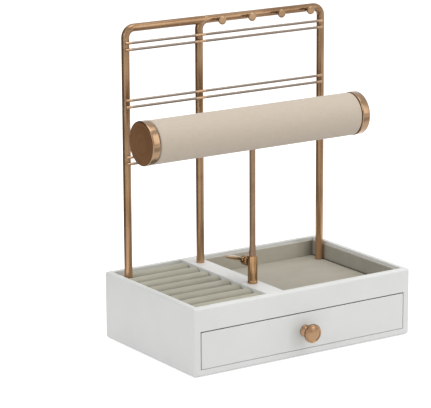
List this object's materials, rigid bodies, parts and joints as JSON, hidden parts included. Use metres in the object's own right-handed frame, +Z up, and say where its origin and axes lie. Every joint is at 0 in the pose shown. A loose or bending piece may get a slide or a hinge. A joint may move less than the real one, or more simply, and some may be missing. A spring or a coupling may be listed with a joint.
{
  "type": "jewelry stand with drawer",
  "caption": "Painted box with ring rolls, a lined tray and a drawer, a copper tube frame with earring wires and necklace hooks, and a padded bracelet bar on an adjustable post.",
  "frame": {"origin": "middle of the box's underside, on the table", "axes": "+X to the right seen from the drawer's side, +Y to the back, +Z up"},
  "size_m": [0.228, 0.1425, 0.255],
  "materials": {
    "paint": "white satin paint on board",
    "board": "plain sanded board",
    "liner": "matt velvet, warm grey",
    "sleeve": "fine woven cloth, beige",
    "metal": "brushed, copper-coloured plating",
    "screw": "plain zinc",
    "felt": "dark felt",
    "core": "wound board tube"
  },
  "bodies": {
    "base": {"base_felt": "felt", "bottom_panel": "paint", "side_left": "paint", "side_right": "paint", "back_panel": "paint", "front_frame": "paint", "deck": "paint", "divider": "paint", "guide_left": "board", "guide_right": "board", "floor_pad": "liner", "liner_front": "liner", "liner_back": "liner", "liner_left": "liner", "liner_right": "liner", "roll_card": "board", "ring_roll_1": "liner", "ring_roll_2": "liner", "ring_roll_3": "liner", "ring_roll_4": "liner", "ring_roll_5": "liner", "ring_roll_6": "liner", "ring_roll_7": "liner", "ring_roll_8": "liner", "rail_left": "metal", "rail_loop": "metal", "leg_inserts": "screw", "leg_screws": "screw", "leg_screw_mid": "screw", "wire_1": "metal", "wire_2": "metal", "wire_3": "metal", "wire_4": "metal", "wire_5": "metal", "wire_6": "metal", "hook_1": "metal", "hook_2": "metal", "hook_3": "metal", "hook_4": "metal", "ferrule": "metal", "ferrule_screw": "screw"},
    "post": {"post": "metal", "bar_screw": "screw"},
    "bar": {"bar_bush": "board", "bar_core": "core", "bar_sleeve": "sleeve", "cap_left": "metal", "cap_right": "metal"},
    "thumb": {"thumb_screw": "metal"},
    "drawer": {"drawer_front": "paint", "drawer_side_left": "board", "drawer_side_right": "board", "drawer_back": "board", "drawer_bottom": "board", "drawer_lining": "liner", "knob": "metal", "knob_screw": "screw"}
  },
  "joints": [
    {"name": "drawer_slide", "type": "slide", "parent": "base", "child": "drawer", "axis": [0, -1, 0], "range_m": [0, 0.085]},
    {"name": "post_slide", "type": "slide", "parent": "base", "child": "post", "axis": [0, 0, 1], "range_m": [0, 0.012]},
    {"name": "bar_swivel", "type": "hinge", "parent": "post", "child": "bar", "pos_m": [-0.025, -0.0295, 0.1785], "axis": [0, 0, 1], "range_deg": [-30, 30]},
    {"name": "thumb_turn", "type": "hinge", "parent": "base", "child": "thumb", "pos_m": [-0.025, -0.0295, 0.0718], "axis": [-0.1736, 0.9848, 0], "continuous": true}
  ]
}
